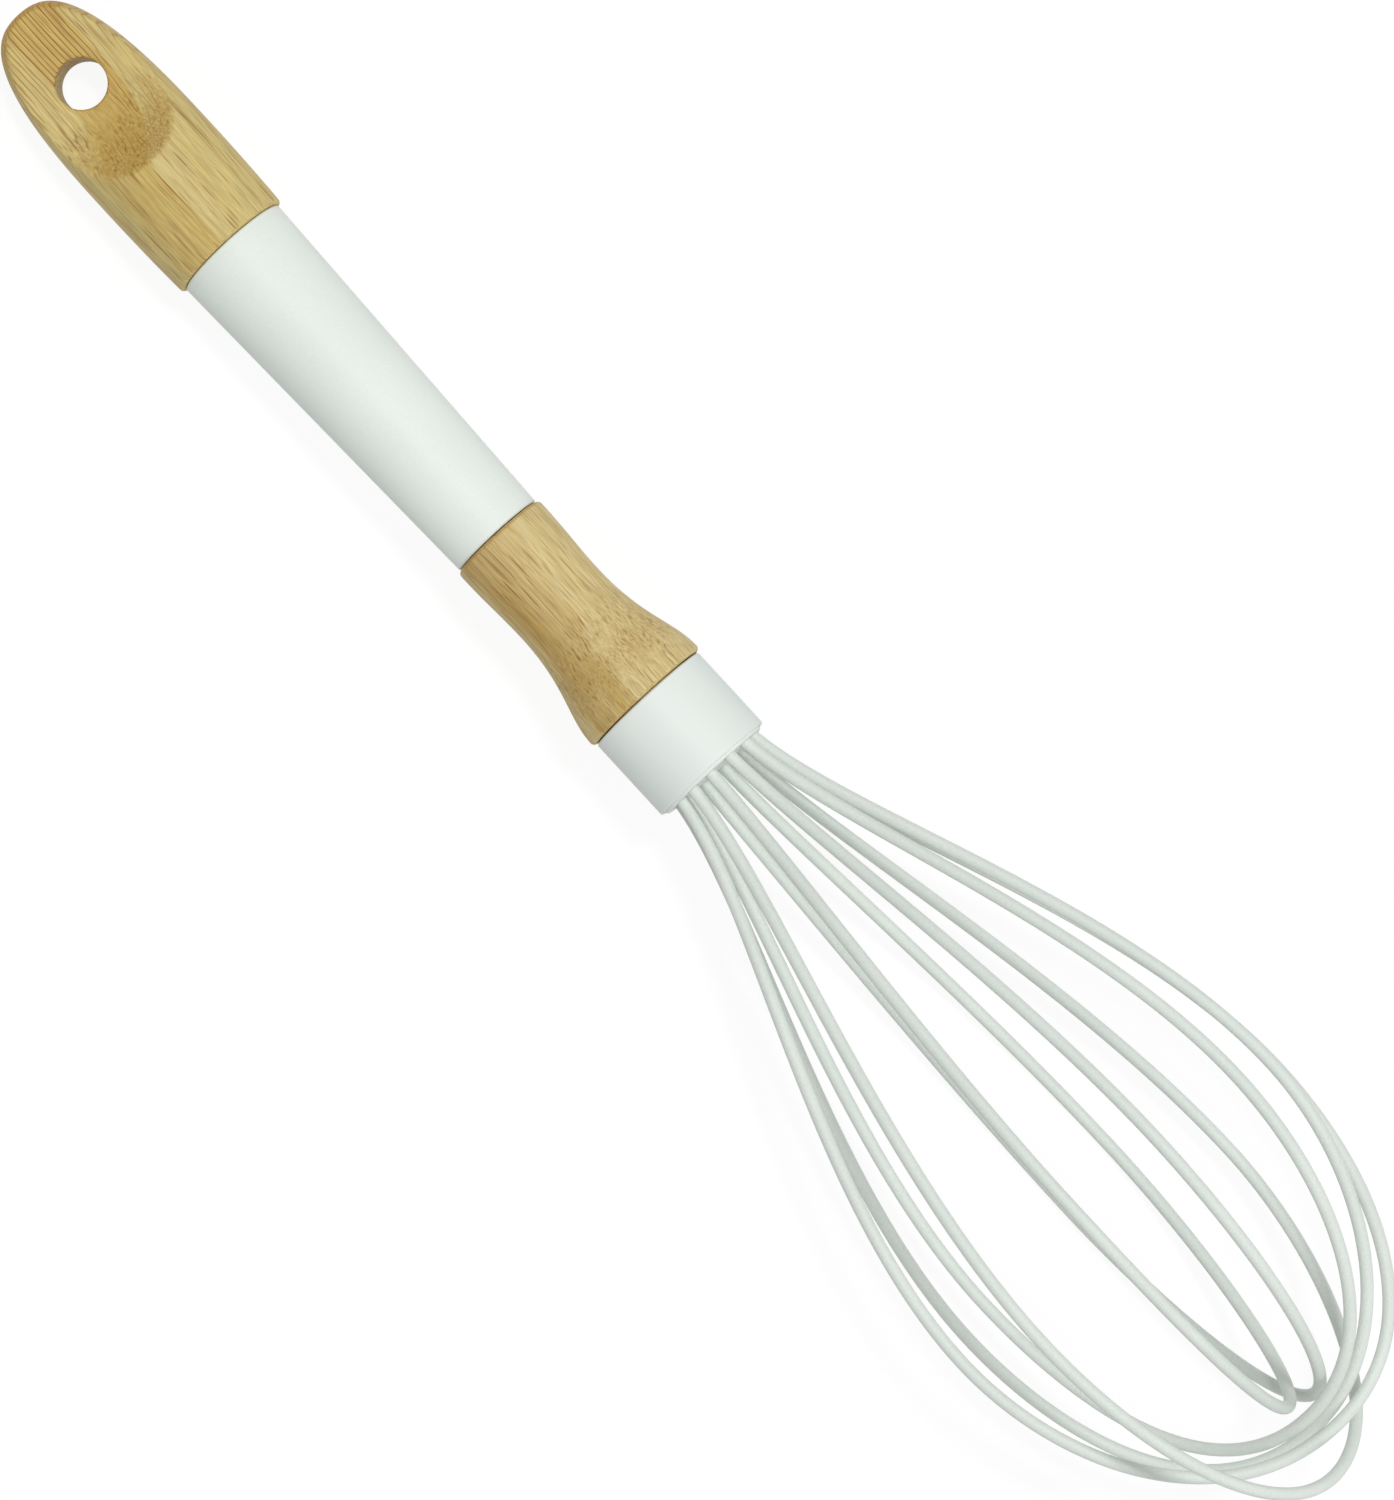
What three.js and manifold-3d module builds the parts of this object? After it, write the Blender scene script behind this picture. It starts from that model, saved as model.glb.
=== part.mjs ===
// Silicone whisk: a turned wooden handle with a soft grip, a ferrule and a cage of coated wire loops.
// Millimetres, +Z up. The whisk is built along +X from the tip of the handle and then laid on its side,
// resting on the handle end and on the lowest wires.
import * as THREE from 'three';
import Module from 'manifold-3d';

const wasm = await Module();
wasm.setup();

// Fits and fineness
const SEAM = 0.3;                  // gap between faces that meet along the handle
const FIT = 0.3;                   // gap round a rod, spigot or plug in its hole
const WIRE_FIT = 0.25;             // gap round a wire in its hole
const TURN_STEPS = 32;             // facets round a turned piece
const BORE_STEPS = 16;             // facets round a small hole

// Wooden handle end
const END_LENGTH = 50.45;
const END_RADIUS = 11.02;
const END_NOSE = 33.4;              // length of the rounded nose
const END_BLUNTNESS = 2.8;         // power of the nose curve, 2 is an ellipse
const END_SEAM_RADIUS = 10.66;     // at the grip, before the edge is rounded
const END_EDGE = 0.5;              // rounding of the edge at the grip
const BARREL_PULL_REAR = 0.35;     // how long the barrel keeps its direction, as a share of its length
const BARREL_PULL_FRONT = 0.25;
const BARREL_TAPER = 0.2;          // rise of the barrel over that last share
const PADDLE_THICKNESS = 8.8;      // between the two flats
const PADDLE_LENGTH = 18;          // straight part of each flat
const COVE_RADIUS = 20;            // run-out at the end of each flat
const HANG_HOLE_RADIUS = 4.2;
const HANG_HOLE_STATION = 15.45;   // from the tip

// Grip sleeve and the stiff tube in it
const GRIP_LENGTH = 63.1;
const GRIP_RADIUS_REAR = 9.93;
const GRIP_RADIUS_FRONT = 8.18;
const GRIP_EDGE = 0.4;
const CORE_RADIUS = 5.5;
const CORE_SPIGOT = 6;             // how far the tube enters each wooden piece

// Wooden collar
const COLLAR_LENGTH = 35.15;
const COLLAR_RADIUS = 8.68;
const COLLAR_EDGE = 0.8;
const COLLAR_WAIST_RADIUS = 8.25;
const COLLAR_WAIST_STATION = 14.55; // from the grip
const COLLAR_FLARE_RADIUS = 11.48;
const COLLAR_FLARE_EDGE = 0.7;
const NECK_PULL_REAR = 0.42;       // how long neck and flare keep their direction, as shares
const NECK_PULL_FRONT = 0.35;
const FLARE_PULL_REAR = 0.525;
const FLARE_PULL_FRONT = 0.265;
const TENON_RADIUS = 8.8;
const TENON_LENGTH = 3.4;

// Ferrule, wire guide and wire anchor
const FERRULE_LENGTH = 15.25;
const FERRULE_RADIUS = 10.9;
const FERRULE_EDGE = 0.35;
const FERRULE_WALL = 0.7;
const FERRULE_WEB = 2;
const GUIDE_DEPTH = 5;             // inside the ferrule
const GUIDE_LIP = 0.5;             // outside the ferrule
const GUIDE_CHAMFER = 0.5;
const ANCHOR_RECESS_RADIUS = 5.4;  // room for the nut and washer

// Tie rod
const ROD_RADIUS = 2.5;
const ROD_GRIP = 20;               // length held in the handle end
const WASHER_RADIUS = 4.8;
const WASHER_THICKNESS = 1;
const NUT_ACROSS_FLATS = 8;
const NUT_HEIGHT = 2.2;

// Wires
const COAT_RADIUS = 1.05;
const COAT_BORE = 0.75;
const WIRE_RADIUS = 0.55;
const COAT_DEPTH = 4.7;            // length of coat inside the guide
const WIRE_DEPTH = 8.6;            // length of bare wire end inside the ferrule
const COAT_SIDES = 8;
const WIRE_SIDES = 5;
const LEG_STEPS = 8;               // from the guide to the belly
const CROWN_STEPS = 9;             // from the belly to the crown

// Loops. Bearings are in degrees round the axis, from -Y over the top (+Z).
const HEAD_LENGTH = 148.6;         // from the mouth of the ferrule to the furthest crown
const ROOT_RADIUS = 7.85;          // ring on which the wires leave the guide
const ROOT_SIDE = 0.45;            // set of that ring off the axis, towards +Y
const ROOT_SPLAY = 6;              // degrees outward from the axis
const ROOT_BEARING = 22.3;         // bearing of the first loop's upper leg
const BELLY_RADIUS = 34.7;
const CROWN_LENGTH = 47.6;         // from the belly to the crown, along the axis
const ROOT_PULL = 0.209;           // how long each stretch keeps its direction, as a share of its span
const BELLY_PULL_REAR = 0.36;
const BELLY_PULL_FRONT = 0.5;
const CROWN_PULL = 0.645;

// reach: how far the crown stands from the mouth of the ferrule, as a share of HEAD_LENGTH;
// upper, lower: bearing of each belly; turn: bearing of the wire at the crown;
// side, rise: set of the crown off the axis in +Y and +Z, as shares of BELLY_RADIUS
const LOOPS = [
  { reach: 0.965, upper: 5.5, lower: 191.7, side: 0.056, rise: -0.021, turn: 0 },
  { reach: 1, upper: 49.2, lower: 235.1, side: -0.078, rise: 0.14, turn: 55.9 },
  { reach: 0.915, upper: 81.6, lower: 260, side: -0.029, rise: -0.007, turn: 80.8 },
  { reach: 0.926, upper: 109.8, lower: 279.7, side: 0.087, rise: -0.154, turn: 103.7 },
  { reach: 0.937, upper: 143, lower: 319, side: -0.032, rise: 0.073, turn: 146.7 },
  { reach: 0.953, upper: 164.1, lower: 336, side: -0.055, rise: -0.139, turn: 156.3 },
];

// Stations along the axis, from the tip of the handle
const GRIP_START = END_LENGTH;
const COLLAR_START = GRIP_START + GRIP_LENGTH;
const FERRULE_START = COLLAR_START + COLLAR_LENGTH;
const MOUTH = FERRULE_START + FERRULE_LENGTH;
const GUIDE_START = MOUTH - GUIDE_DEPTH;
const WEB_START = FERRULE_START + TENON_LENGTH + SEAM;
const WEB_END = WEB_START + FERRULE_WEB;
const ROD_START = END_LENGTH - ROD_GRIP;
const ROD_END = GUIDE_START - SEAM;
const FERRULE_BORE = FERRULE_RADIUS - FERRULE_WALL;
const GUIDE_RADIUS = FERRULE_BORE - FIT;
const ROD_HOLE = ROD_RADIUS + FIT;
const SPIGOT_HOLE = CORE_RADIUS + FIT;

const finish = (color, roughness, metalness = 0) =>
  new THREE.MeshStandardMaterial({ color, roughness, metalness });
const WOOD = finish(0xc9ad72, 0.55);
const SILICONE = finish(0xdfe8e0, 0.6);
const PLASTIC = finish(0xe4e9ea, 0.35);
const CORE_PLASTIC = finish(0xd8d8d4, 0.5);
const STEEL = finish(0xb9bcc0, 0.3, 1);

const whisk = new THREE.Group();
const handleParts = [];
const headParts = [];

function addPart(name, geometry, material, list) {
  const mesh = new THREE.Mesh(geometry, material);
  mesh.name = name;
  whisk.add(mesh);
  list.push(mesh);
  return mesh;
}

// Turned pieces: a closed outline of [station, radius] points, turned about the whisk's axis
function turned(outline, steps = TURN_STEPS) {
  const points = outline.map(([station, radius]) => new THREE.Vector2(radius, station));
  points.push(points[0].clone());
  return new THREE.LatheGeometry(points, steps).rotateZ(-Math.PI / 2);
}

// Points of a quarter round between two corners, bulging away from the corner that it replaces
function rounded(from, to, corner, steps = 4) {
  const curve = new THREE.QuadraticBezierCurve(
    new THREE.Vector2(...from), new THREE.Vector2(...corner), new THREE.Vector2(...to));
  return curve.getPoints(steps).map((p) => [p.x, p.y]);
}

function bezier(points, steps) {
  const curve = new THREE.CubicBezierCurve(...points.map((p) => new THREE.Vector2(...p)));
  return curve.getPoints(steps).map((p) => [p.x, p.y]);
}

// Boolean solids: welds the vertices that a geometry repeats and drops the slivers that this leaves
function toSolid(geometry) {
  const position = geometry.getAttribute('position');
  const index = geometry.getIndex();
  const count = index ? index.count : position.count;
  const seen = new Map();
  const vertices = [];
  const corners = [];
  for (let i = 0; i < count; i += 1) {
    const v = index ? index.getX(i) : i;
    const xyz = [position.getX(v), position.getY(v), position.getZ(v)];
    const key = xyz.map((c) => Math.round(c * 1e5)).join(' ');
    if (!seen.has(key)) {
      seen.set(key, vertices.length / 3);
      vertices.push(...xyz);
    }
    corners.push(seen.get(key));
  }
  const triangles = [];
  for (let i = 0; i < corners.length; i += 3) {
    const [a, b, c] = corners.slice(i, i + 3);
    if (a !== b && b !== c && c !== a) triangles.push(a, b, c);
  }
  return new wasm.Manifold(new wasm.Mesh({
    numProp: 3,
    vertProperties: new Float32Array(vertices),
    triVerts: new Uint32Array(triangles),
  }));
}

function toGeometry(solid) {
  const mesh = solid.getMesh();
  const geometry = new THREE.BufferGeometry();
  geometry.setAttribute('position', new THREE.BufferAttribute(mesh.vertProperties, 3));
  geometry.setIndex(new THREE.BufferAttribute(mesh.triVerts, 1));
  geometry.computeVertexNormals();
  return geometry;
}

function cut(geometry, cutters) {
  const solid = cutters.reduce((body, cutter) => body.subtract(toSolid(cutter)), toSolid(geometry));
  return toGeometry(solid);
}

// Handle end: turned nose, two flats with coves, hang hole and the socket for core and rod
function endOutline() {
  const nose = [];
  const noseSteps = 10;
  for (let i = 0; i <= noseSteps; i += 1) {
    const share = 1 - Math.cos((i / noseSteps) * Math.PI / 2);
    const rest = (1 - share) ** END_BLUNTNESS;
    nose.push([share * END_NOSE, END_RADIUS * (1 - rest) ** (1 / END_BLUNTNESS)]);
  }
  const edge = rounded(
    [END_LENGTH - END_EDGE, END_SEAM_RADIUS], [END_LENGTH, END_SEAM_RADIUS - END_EDGE],
    [END_LENGTH, END_SEAM_RADIUS]);
  const barrelEnd = END_LENGTH - END_EDGE;
  const barrelLength = barrelEnd - END_NOSE;
  const barrel = bezier([
    [END_NOSE, END_RADIUS], [END_NOSE + BARREL_PULL_REAR * barrelLength, END_RADIUS],
    [barrelEnd - BARREL_PULL_FRONT * barrelLength, END_SEAM_RADIUS + BARREL_TAPER],
    [barrelEnd, END_SEAM_RADIUS]], 5).slice(1, -1);
  const socketEnd = END_LENGTH - CORE_SPIGOT - SEAM;
  return [
    ...nose, ...barrel, ...edge,
    [END_LENGTH, SPIGOT_HOLE], [socketEnd, SPIGOT_HOLE], [socketEnd, ROD_HOLE],
    [ROD_START - SEAM, ROD_HOLE], [ROD_START - SEAM, 0],
  ];
}

function flatCutter(side) {
  const half = PADDLE_THICKNESS / 2;
  const clear = END_RADIUS + 2;
  const shape = new THREE.Shape();
  shape.moveTo(-2, half);
  shape.lineTo(PADDLE_LENGTH, half);
  shape.absarc(PADDLE_LENGTH, half + COVE_RADIUS, COVE_RADIUS, -Math.PI / 2, 0, false);
  shape.lineTo(PADDLE_LENGTH + COVE_RADIUS, half + COVE_RADIUS + clear);
  shape.lineTo(-2, half + COVE_RADIUS + clear);
  shape.closePath();
  const depth = 2 * clear;
  const block = new THREE.ExtrudeGeometry(shape, { depth, bevelEnabled: false, curveSegments: 16 });
  block.translate(0, 0, -depth / 2);
  return block.rotateX(side * Math.PI / 2);
}

function hangHole() {
  const hole = new THREE.CylinderGeometry(HANG_HOLE_RADIUS, HANG_HOLE_RADIUS, 3 * END_RADIUS, 32);
  return hole.rotateX(Math.PI / 2).translate(HANG_HOLE_STATION, 0, 0);
}

const endCutters = [flatCutter(1), flatCutter(-1), hangHole()];
addPart('handle_end', cut(turned(endOutline()), endCutters), WOOD, handleParts);

// Grip: soft tapered sleeve over a stiff tube that enters the wood at both ends
function sleeveOutline() {
  const rear = GRIP_START + SEAM;
  const front = COLLAR_START - SEAM;
  return [
    [rear, SPIGOT_HOLE],
    ...rounded(
      [rear, GRIP_RADIUS_REAR - GRIP_EDGE], [rear + GRIP_EDGE, GRIP_RADIUS_REAR],
      [rear, GRIP_RADIUS_REAR], 3),
    ...rounded(
      [front - GRIP_EDGE, GRIP_RADIUS_FRONT], [front, GRIP_RADIUS_FRONT - GRIP_EDGE],
      [front, GRIP_RADIUS_FRONT], 3),
    [front, SPIGOT_HOLE],
  ];
}

const coreStart = GRIP_START - CORE_SPIGOT;
const coreEnd = COLLAR_START + CORE_SPIGOT;
addPart('grip_sleeve', turned(sleeveOutline()), SILICONE, handleParts);
addPart('grip_core', turned([
  [coreStart, ROD_HOLE], [coreStart, CORE_RADIUS], [coreEnd, CORE_RADIUS], [coreEnd, ROD_HOLE],
], 24), CORE_PLASTIC, handleParts);

// Collar: waist and flare, bored for core and rod, with a tenon that enters the ferrule
function collarOutline() {
  const flareEnd = FERRULE_START - SEAM;
  const waist = COLLAR_START + COLLAR_WAIST_STATION;
  const shoulder = COLLAR_START + COLLAR_EDGE;
  const rim = flareEnd - COLLAR_FLARE_EDGE;
  const neckLength = waist - shoulder;
  const flareLength = rim - waist;
  const socketEnd = COLLAR_START + CORE_SPIGOT + SEAM;
  const tenonEnd = FERRULE_START + TENON_LENGTH;
  return [
    [COLLAR_START, SPIGOT_HOLE],
    ...rounded(
      [COLLAR_START, COLLAR_RADIUS - COLLAR_EDGE], [shoulder, COLLAR_RADIUS],
      [COLLAR_START, COLLAR_RADIUS], 3),
    ...bezier([
      [shoulder, COLLAR_RADIUS], [shoulder + NECK_PULL_REAR * neckLength, COLLAR_RADIUS],
      [waist - NECK_PULL_FRONT * neckLength, COLLAR_WAIST_RADIUS], [waist, COLLAR_WAIST_RADIUS],
    ], 5).slice(1, -1),
    ...bezier([
      [waist, COLLAR_WAIST_RADIUS], [waist + FLARE_PULL_REAR * flareLength, COLLAR_WAIST_RADIUS],
      [rim - FLARE_PULL_FRONT * flareLength, COLLAR_FLARE_RADIUS], [rim, COLLAR_FLARE_RADIUS],
    ], 7),
    ...rounded(
      [rim, COLLAR_FLARE_RADIUS], [flareEnd, COLLAR_FLARE_RADIUS - COLLAR_FLARE_EDGE],
      [flareEnd, COLLAR_FLARE_RADIUS], 4).slice(1),
    [flareEnd, TENON_RADIUS], [tenonEnd, TENON_RADIUS], [tenonEnd, ROD_HOLE],
    [socketEnd, ROD_HOLE], [socketEnd, SPIGOT_HOLE],
  ];
}

addPart('wood_collar', turned(collarOutline()), WOOD, handleParts);

// Ferrule: a socket for the collar's tenon, a web that the rod pulls on, and a cup for guide and anchor
function ferruleOutline() {
  return [
    [FERRULE_START, TENON_RADIUS + FIT],
    [FERRULE_START, FERRULE_RADIUS - FERRULE_EDGE], [FERRULE_START + FERRULE_EDGE, FERRULE_RADIUS],
    [MOUTH - FERRULE_EDGE, FERRULE_RADIUS], [MOUTH, FERRULE_RADIUS - FERRULE_EDGE],
    [MOUTH, FERRULE_BORE], [WEB_END, FERRULE_BORE], [WEB_END, ROD_HOLE],
    [WEB_START, ROD_HOLE], [WEB_START, TENON_RADIUS + FIT],
  ];
}

addPart('ferrule', turned(ferruleOutline()), PLASTIC, headParts);

// Tie rod with its washer and nut, hidden in the handle and the ferrule
const washerStart = WEB_END + SEAM;
const nutStart = washerStart + WASHER_THICKNESS + SEAM;
addPart('tie_rod', turned([
  [ROD_START, 0], [ROD_START, ROD_RADIUS], [ROD_END, ROD_RADIUS], [ROD_END, 0],
], 16), STEEL, handleParts);
addPart('rod_washer', turned([
  [washerStart, ROD_HOLE], [washerStart, WASHER_RADIUS],
  [washerStart + WASHER_THICKNESS, WASHER_RADIUS], [washerStart + WASHER_THICKNESS, ROD_HOLE],
], 20), STEEL, headParts);

function nut() {
  const corner = NUT_ACROSS_FLATS / Math.sqrt(3);
  const body = new THREE.CylinderGeometry(corner, corner, NUT_HEIGHT, 6);
  const hole = new THREE.CylinderGeometry(ROD_HOLE, ROD_HOLE, 2 * NUT_HEIGHT, BORE_STEPS);
  return cut(body, [hole]).rotateZ(-Math.PI / 2).translate(nutStart + NUT_HEIGHT / 2, 0, 0);
}

addPart('rod_nut', nut(), STEEL, headParts);

// Wires. A loop is four curves: guide to belly and belly to crown, on its upper and its lower leg.
const AXIS = new THREE.Vector3(1, 0, 0);

function outward(bearing) {
  const angle = THREE.MathUtils.degToRad(bearing);
  return new THREE.Vector3(0, -Math.cos(angle), Math.sin(angle));
}

function along(point, direction, length) {
  return point.clone().addScaledVector(direction, length);
}

function legRoot(bearing) {
  const splay = THREE.MathUtils.degToRad(ROOT_SPLAY);
  const point = along(new THREE.Vector3(MOUTH, ROOT_SIDE, 0), outward(bearing), ROOT_RADIUS);
  const direction = AXIS.clone().multiplyScalar(Math.cos(splay));
  direction.addScaledVector(outward(bearing), Math.sin(splay));
  return { point, direction };
}

function legCurves(loop, rootBearing, bellyBearing, crownSign) {
  const reach = loop.reach * HEAD_LENGTH;
  const bellyStation = reach - CROWN_LENGTH;
  const root = legRoot(rootBearing);
  const bellyCentre = new THREE.Vector3(MOUTH + bellyStation, 0, 0);
  const belly = along(bellyCentre, outward(bellyBearing), BELLY_RADIUS);
  const crown = new THREE.Vector3(MOUTH + reach, loop.side * BELLY_RADIUS, loop.rise * BELLY_RADIUS);
  const crownTurn = outward(loop.turn).multiplyScalar(crownSign);
  const leg = new THREE.CubicBezierCurve3(
    root.point, along(root.point, root.direction, ROOT_PULL * bellyStation),
    along(belly, AXIS, -BELLY_PULL_REAR * bellyStation), belly);
  const shoulder = new THREE.CubicBezierCurve3(
    belly, along(belly, AXIS, BELLY_PULL_FRONT * CROWN_LENGTH),
    along(crown, crownTurn, CROWN_PULL * BELLY_RADIUS), crown);
  return { root, leg, shoulder };
}

// Path of one wire with its straight ends in the ferrule. Coat and wire share the stations between the
// ends, so that the wire runs true in the bore of its coat.
class WirePath extends THREE.Curve {
  constructor(loop, rootBearing, depth, endSteps) {
    super();
    const upper = legCurves(loop, rootBearing, loop.upper, 1);
    const lower = legCurves(loop, rootBearing + 180, loop.lower, -1);
    const inUpper = upper.root.direction;
    const inLower = lower.root.direction;
    const outLower = inLower.clone().negate();
    this.stations = [];
    const depths = endSteps === 2 ? [depth, COAT_DEPTH] : [depth];
    for (const d of depths) this.addStation(along(upper.root.point, inUpper, -d), inUpper);
    this.addCurve(upper.leg, LEG_STEPS, false);
    this.addCurve(upper.shoulder, CROWN_STEPS, false);
    this.addCurve(lower.shoulder, CROWN_STEPS, true);
    this.addCurve(lower.leg, LEG_STEPS, true);
    this.addStation(lower.root.point, outLower);
    for (const d of depths.reverse()) this.addStation(along(lower.root.point, inLower, -d), outLower);
    this.steps = this.stations.length - 1;
  }

  addStation(point, tangent) {
    this.stations.push({ point: point.clone(), tangent: tangent.clone() });
  }

  addCurve(curve, steps, backwards) {
    for (let i = 0; i < steps; i += 1) {
      const u = backwards ? 1 - i / steps : i / steps;
      const tangent = curve.getTangent(u);
      this.addStation(curve.getPoint(u), backwards ? tangent.negate() : tangent);
    }
  }

  station(u) {
    return this.stations[Math.round(u * this.steps)];
  }

  getPoint(u, target = new THREE.Vector3()) {
    return target.copy(this.station(u).point);
  }

  getPointAt(u, target = new THREE.Vector3()) {
    return this.getPoint(u, target);
  }

  getTangentAt(u, target = new THREE.Vector3()) {
    return target.copy(this.station(u).tangent);
  }
}

function ring(radius, sides, PathType) {
  const path = new PathType();
  for (let i = 0; i < sides; i += 1) {
    const angle = (i / sides) * 2 * Math.PI;
    const point = [radius * Math.cos(angle), radius * Math.sin(angle)];
    if (i === 0) path.moveTo(...point);
    else path.lineTo(...point);
  }
  path.closePath();
  return path;
}

function sweep(shape, path) {
  return new THREE.ExtrudeGeometry(shape, { steps: path.steps, extrudePath: path, bevelEnabled: false });
}

const rootBearings = LOOPS.map((loop, i) => ROOT_BEARING + (i * 180) / LOOPS.length);
LOOPS.forEach((loop, i) => {
  const tube = ring(COAT_RADIUS, COAT_SIDES, THREE.Shape);
  tube.holes.push(ring(COAT_BORE, WIRE_SIDES, THREE.Path));
  const coatPath = new WirePath(loop, rootBearings[i], COAT_DEPTH, 1);
  const wirePath = new WirePath(loop, rootBearings[i], WIRE_DEPTH, 2);
  const wire = ring(WIRE_RADIUS, WIRE_SIDES, THREE.Shape);
  addPart(`wire_coat_${i + 1}`, sweep(tube, coatPath), SILICONE, headParts);
  addPart(`wire_core_${i + 1}`, sweep(wire, wirePath), STEEL, headParts);
});

// Guide and anchor: plugs in the ferrule, drilled along the straight end of every leg
function wireHoles(radius) {
  const length = 3 * FERRULE_LENGTH;
  const legs = rootBearings.flatMap((bearing) => [bearing, bearing + 180]);
  return legs.map((bearing) => {
    const { point, direction } = legRoot(bearing);
    const hole = new THREE.CylinderGeometry(radius, radius, length, 8);
    hole.applyQuaternion(new THREE.Quaternion().setFromUnitVectors(new THREE.Vector3(0, 1, 0), direction));
    return hole.translate(point.x, point.y, point.z);
  });
}

function guide() {
  const rim = MOUTH + GUIDE_LIP;
  const body = turned([
    [GUIDE_START, 0], [GUIDE_START, GUIDE_RADIUS], [rim - GUIDE_CHAMFER, GUIDE_RADIUS],
    [rim, GUIDE_RADIUS - GUIDE_CHAMFER], [rim, 0],
  ]);
  return cut(body, wireHoles(COAT_RADIUS + WIRE_FIT));
}

function anchor() {
  const start = WEB_END + SEAM;
  const end = GUIDE_START - SEAM;
  const body = turned([
    [start, ANCHOR_RECESS_RADIUS], [start, GUIDE_RADIUS],
    [end, GUIDE_RADIUS], [end, ANCHOR_RECESS_RADIUS],
  ]);
  return cut(body, wireHoles(WIRE_RADIUS + WIRE_FIT));
}

addPart('wire_guide', guide(), PLASTIC, headParts);
addPart('wire_anchor', anchor(), CORE_PLASTIC, headParts);

// Lays the whisk on its side: tips it until handle and head touch the same level
function lowest(parts) {
  const point = new THREE.Vector3();
  let best = new THREE.Vector3(0, 0, Infinity);
  for (const mesh of parts) {
    const position = mesh.geometry.getAttribute('position');
    for (let i = 0; i < position.count; i += 1) {
      point.fromBufferAttribute(position, i).applyEuler(whisk.rotation);
      if (point.z < best.z) best = point.clone();
    }
  }
  return best;
}

const layRounds = 8;
for (let i = 0; i < layRounds; i += 1) {
  const handle = lowest(handleParts);
  const head = lowest(headParts);
  whisk.rotation.y += Math.atan2(head.z - handle.z, head.x - handle.x);
}

const part = new THREE.Group();
part.add(whisk);
part.updateMatrixWorld(true);
const box = new THREE.Box3().setFromObject(whisk, true);
const middle = box.getCenter(new THREE.Vector3());
whisk.position.set(-middle.x, -middle.y, -box.min.z);
part.updateMatrixWorld(true);

export default part;
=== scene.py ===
import math
from collections import namedtuple

import bmesh
import bpy
import numpy as np
from mathutils import Matrix, Vector


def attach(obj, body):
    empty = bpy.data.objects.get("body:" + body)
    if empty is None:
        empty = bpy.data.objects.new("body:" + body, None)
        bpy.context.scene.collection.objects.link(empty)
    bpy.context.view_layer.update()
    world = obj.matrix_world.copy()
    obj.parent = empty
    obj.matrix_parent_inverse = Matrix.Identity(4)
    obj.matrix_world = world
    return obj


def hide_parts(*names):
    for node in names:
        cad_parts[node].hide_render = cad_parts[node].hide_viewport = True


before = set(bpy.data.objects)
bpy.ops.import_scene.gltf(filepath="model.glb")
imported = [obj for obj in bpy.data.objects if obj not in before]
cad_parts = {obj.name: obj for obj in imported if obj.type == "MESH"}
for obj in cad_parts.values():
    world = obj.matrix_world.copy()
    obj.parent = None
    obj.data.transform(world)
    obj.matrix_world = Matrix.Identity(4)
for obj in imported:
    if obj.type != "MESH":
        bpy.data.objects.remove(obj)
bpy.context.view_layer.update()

scene = bpy.context.scene
scene.view_settings.view_transform = "Standard"
MM = 0.001

# Sizes in millimetres. Stations run along the whisk's own axis from the tip of the handle.
END_LENGTH = 50.45
END_RADIUS = 11.02
END_NOSE = 33.4
END_BLUNTNESS = 2.8
END_SEAM_RADIUS = 10.66
END_EDGE = 0.5
BARREL_PULL_REAR = 0.35
BARREL_PULL_FRONT = 0.25
BARREL_FALL = 0.2
FLAT_HALF = 4.4
FLAT_LENGTH = 18.0
FLAT_SOFTNESS = 0.7
COVE_RADIUS = 20.0
COVE_SOFTNESS = 1.1
HOLE_STATION = 15.45
HOLE_RADIUS = 4.2
HOLE_ROUNDING = 0.45
HOLE_LEAN = 0.05
HOLE_MARGIN = 2.0

GRIP_START = 50.45
GRIP_REAR = 9.93
GRIP_FRONT = 8.18
GRIP_EDGE = 0.4

COLLAR_START = 113.55
COLLAR_RADIUS = 8.68
COLLAR_SHOULDER = 0.8
WAIST_STATION = 128.1
WAIST_RADIUS = 8.25
FLARE_RADIUS = 11.48
FLARE_EDGE = 0.7
NECK_PULL_REAR = 0.42
NECK_PULL_FRONT = 0.35
FLARE_PULL_REAR = 0.525
FLARE_PULL_FRONT = 0.265
TENON_RADIUS = 8.8
TENON_LENGTH = 3.4

FERRULE_START = 148.7
FERRULE_RADIUS = 10.9
FERRULE_EDGE = 0.35
FERRULE_BORE = 10.2
FERRULE_BORE_EDGE = 0.2
FERRULE_WEB = 2.0
MOUTH = 163.95

GUIDE_START = 158.95
GUIDE_RADIUS = 10.15
GUIDE_EDGE = 0.5
GUIDE_LIP = 0.5
GUIDE_FACE_RINGS = (9.0, 8.0, 7.0, 6.0, 4.0, 2.0)
GUIDE_HOLE_REACH = (-12.0, 6.0)

# Sockets for the pieces inside, and the gaps: hidden ones, and the three seams that show
SPIGOT_HOLE = 5.8
SOCKET_DEPTH = 6.3
ROD_HOLE = 2.8
ROD_START = 30.45
SEAM = 0.3
END_SHOWN_SEAM = 0.084
COLLAR_SHOWN_SEAM = 0.14
FERRULE_SHOWN_SEAM = 0.224

# Wire loops
COAT_RADIUS = 1.05
COAT_BORE = 0.75
COAT_DEPTH = 4.7
COAT_CLEARANCE = 0.1
ROOT_RADIUS = 7.85
ROOT_SIDE = 0.45
ROOT_SPLAY = 6.0
ROOT_BEARING = 22.3
BELLY_RADIUS = 34.7
CROWN_LENGTH = 47.6
HEAD_LENGTH = 148.6
ROOT_PULL = 0.209
BELLY_PULL_REAR = 0.36
BELLY_PULL_FRONT = 0.5
CROWN_PULL = 0.645
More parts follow.
